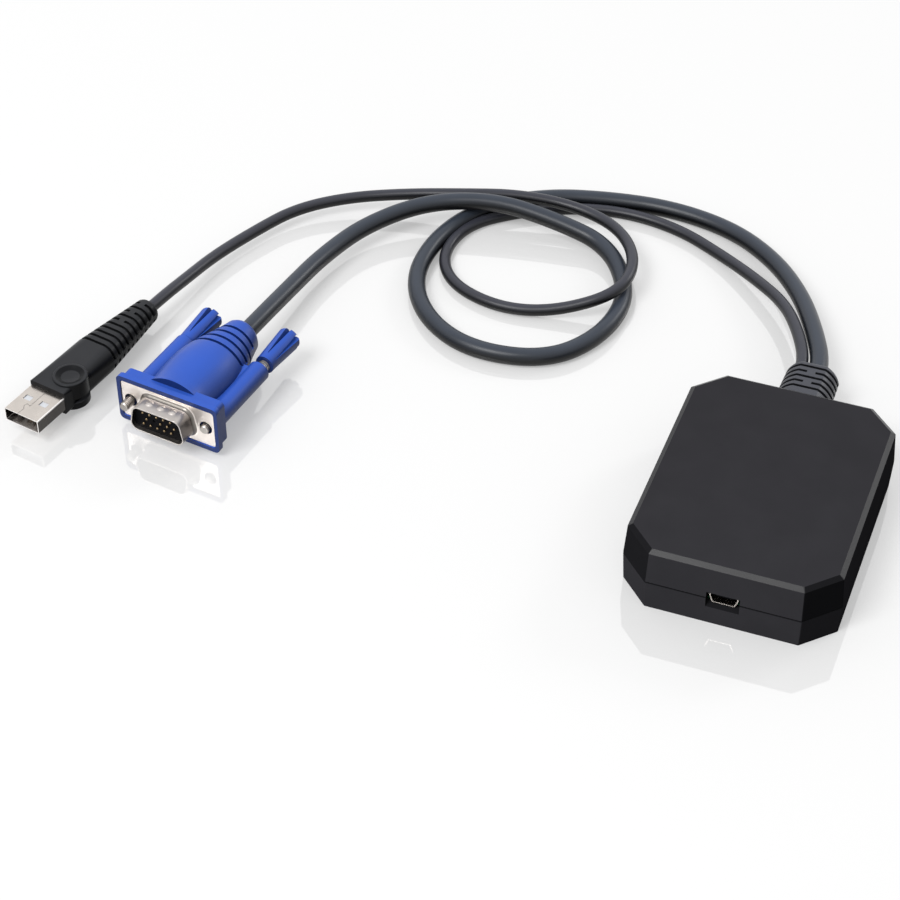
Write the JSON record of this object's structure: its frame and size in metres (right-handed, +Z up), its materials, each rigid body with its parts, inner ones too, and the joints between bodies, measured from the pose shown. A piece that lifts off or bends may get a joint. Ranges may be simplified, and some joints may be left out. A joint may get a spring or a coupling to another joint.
{
  "type": "kvm dongle",
  "caption": "Flat octagonal adapter box with a mini-USB port in front and captive video and USB cables behind, each ending in a moulded plug.",
  "frame": {"origin": "centre of the box's underside, on the table", "axes": "+Z up, +Y towards the cable boot, -Y out of the mini-USB port, +X to the right seen from the port"},
  "size_m": [0.2397, 0.1697, 0.0197],
  "materials": {
    "shell": "fine satin, charcoal",
    "rubber": "satin, dark slate grey",
    "blue": "satin, royal blue",
    "black": "satin, black",
    "steel": "bright nickel plate",
    "gold": "gold plate",
    "board": "solder mask",
    "chip": "moulded epoxy",
    "can": "satin",
    "nylon": "natural nylon",
    "wire": "insulated wire"
  },
  "bodies": {
    "adapter": {"bottom_shell": "shell", "top_shell": "shell", "circuit_board": "board", "capture_chip": "chip", "controller_chip": "chip", "memory_chip": "chip", "crystal": "can", "capacitors": "can", "video_header": "nylon", "usb_header": "nylon", "video_header_plug": "nylon", "usb_header_plug": "nylon", "video_leads": "wire", "usb_leads": "wire", "port_shell": "steel", "port_tongue": "black", "port_contacts": "gold", "cable_boot": "rubber", "housing_screw_1": "steel", "housing_screw_2": "steel", "housing_screw_3": "steel", "housing_screw_4": "steel", "video_hood": "blue", "video_shell": "steel", "video_insulator": "black", "video_pins": "gold", "usb_body": "black", "usb_shell": "steel", "usb_tongue": "nylon", "usb_contacts": "gold", "video_cable": "rubber", "usb_cable": "rubber"},
    "left_thumbscrew": {"left_screw_grip": "blue", "left_screw_shank": "steel"},
    "right_thumbscrew": {"right_screw_grip": "blue", "right_screw_shank": "steel"}
  },
  "joints": [
    {"name": "left_thumbscrew_turn", "type": "hinge", "parent": "adapter", "child": "left_thumbscrew", "pos_m": [-0.17624, -0.00982, 0.0096], "axis": [0.1426, 0.9898, 0], "continuous": true},
    {"name": "right_thumbscrew_turn", "type": "hinge", "parent": "adapter", "child": "right_thumbscrew", "pos_m": [-0.15122, -0.0114, 0.0096], "axis": [0.1426, 0.9898, 0], "continuous": true}
  ]
}
